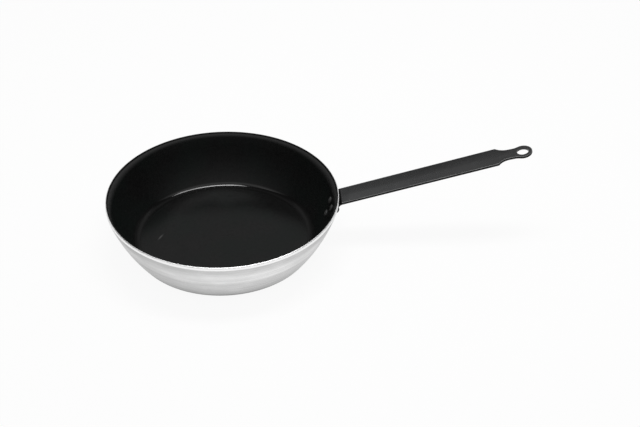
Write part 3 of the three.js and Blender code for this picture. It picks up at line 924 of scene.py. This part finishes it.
bowl = lathe("bowl", outside_profile() + inside_profile(0.0)[::-1], BOWL_STEPS)
cut(bowl, rivet_cutters())
finish_piece(bowl, "pan_body", make_aluminium(), BOWL_SHARP_ANGLE)

lining_face = inside_profile(LINING_BOND_GAP + LINING_THICKNESS)
lining = lathe("lining", inside_profile(LINING_BOND_GAP) + lining_face[::-1], BOWL_STEPS)
cut(lining, rivet_cutters())
finish_piece(lining, "nonstick_lining", make_nonstick(), BOWL_SHARP_ANGLE)

handle = make_handle()
cut(handle, rivet_cutters() + [make_eye_cutter()])
finish_piece(handle, "handle", make_black_steel(), FITTING_SHARP_ANGLE)

rivet_finish = make_rivet_finish()
for rivet_name, rivet_place in RIVET_PLACES.items():
    rivet = make_rivet(rivet_name + "_piece", rivet_place)
    finish_piece(rivet, rivet_name, rivet_finish, FITTING_SHARP_ANGLE)


def make_floor():
    made = bmesh.new()
    half = FLOOR_HALF_SIZE
    corners = ((-half, -half), (half, -half), (half, half), (-half, half))
    made.faces.new([made.verts.new((x, y, -FLOOR_DROP)) for x, y in corners])
    floor = add_piece("floor", made)
    nodes = MaterialNodes("pale_floor")
    nodes.put(Base_Color=grey(STUDIO_FLOOR_TONE), Roughness=0.9, Specular_IOR_Level=0.1)
    path = nodes.add("ShaderNodeLightPath", {}, {}).outputs
    seen = nodes.math("MAXIMUM", path["Is Camera Ray"], path["Is Glossy Ray"])
    seen = nodes.math("MAXIMUM", seen, path["Is Transmission Ray"])
    white = nodes.add("ShaderNodeEmission", {}, {"Color": grey(1.0), "Strength": 1.0})
    seen = nodes.math("MULTIPLY", seen, FLOOR_WHITE_SHARE)
    both = nodes.add("ShaderNodeMixShader", {}, {0: seen})
    nodes.set(both.inputs[1], nodes.shader.outputs[0])
    nodes.set(both.inputs[2], white.outputs[0])
    nodes.set(nodes.tree.nodes["Material Output"].inputs["Surface"], both.outputs[0])
    floor.data.materials.append(nodes.material)


make_floor()


def make_world():
    """White to the camera. To the metal it is a studio: pale at the horizon, dim above."""
    world = bpy.data.worlds.new("studio")
    bpy.context.scene.world = world
    nodes = Nodes(world)
    direction = nodes.add("ShaderNodeTexCoord", {}, {}).outputs["Generated"]
    x, y, z = nodes.split(direction)
    horizon = nodes.remap(z, *HORIZON_FADE, 1.0, 0.0)
    # Behind the pan there is paper at both sides, and a panel above it
    aside = nodes.remap(nodes.math("ABSOLUTE", x), *PAPER_SIDE_FADE, 0.0, 1.0)
    paper = nodes.math("MULTIPLY", aside, nodes.remap(z, *PAPER_TOP_FADE, 1.0, 0.0))
    panel = nodes.math(
        "MULTIPLY", nodes.remap(z, *PANEL_FOOT_FADE, 0.05, 1.05),
        nodes.remap(z, *PANEL_TOP_FADE, 1.0, 0.15),
    )
    back = nodes.math("MAXIMUM", paper, panel)
    back = nodes.math("MULTIPLY", nodes.remap(y, *BACK_FADE, 0.0, 1.0), back)
    # In front of it the light grows with height, and fades overhead
    front = nodes.math(
        "MULTIPLY", nodes.math("POWER", z, 3.0), nodes.remap(z, *FRONT_TOP_FADE, 3.6, 0.5),
    )
    front = nodes.math("MULTIPLY", nodes.remap(y, *FRONT_FADE, 1.0, 0.0), front)
    studio = nodes.math("MAXIMUM", horizon, nodes.math("MAXIMUM", back, front))
    studio = nodes.math("ADD", studio, WORLD_DIM_STRENGTH)
    path = nodes.add("ShaderNodeLightPath", {}, {}).outputs
    glossy = nodes.math("MAXIMUM", path["Is Glossy Ray"], path["Is Transmission Ray"])
    around = nodes.blend(glossy, WORLD_DIFFUSE_STRENGTH, studio)
    shown = nodes.blend(path["Is Camera Ray"], around, 1.0)
    background = nodes.tree.nodes["Background"]
    nodes.set(background.inputs["Strength"], shown)
    nodes.set(background.inputs["Color"], grey(1.0))


make_world()


def make_softbox():
    """A soft lamp that faces straight down."""
    data = bpy.data.lights.new("softbox_top", "AREA")
    data.shape = "RECTANGLE"
    data.size, data.size_y = SOFTBOX_SIZE
    data.energy = SOFTBOX_RADIANCE * math.pi * data.size * data.size_y
    lamp = bpy.data.objects.new("softbox_top", data)
    lamp.location = SOFTBOX_PLACE
    lamp.visible_camera = False
    bpy.context.scene.collection.objects.link(lamp)


make_softbox()

camera_data = bpy.data.cameras.new("camera")
camera_data.lens = CAMERA_LENS
camera_data.sensor_width = CAMERA_SENSOR
camera = bpy.data.objects.new("camera", camera_data)
camera.location = CAMERA_PLACE
camera.rotation_mode = "QUATERNION"
camera.rotation_quaternion = CAMERA_DIRECTION.to_track_quat("-Z", "Y")
bpy.context.scene.collection.objects.link(camera)
bpy.context.scene.camera = camera
bpy.context.scene.view_settings.view_transform = "Standard"
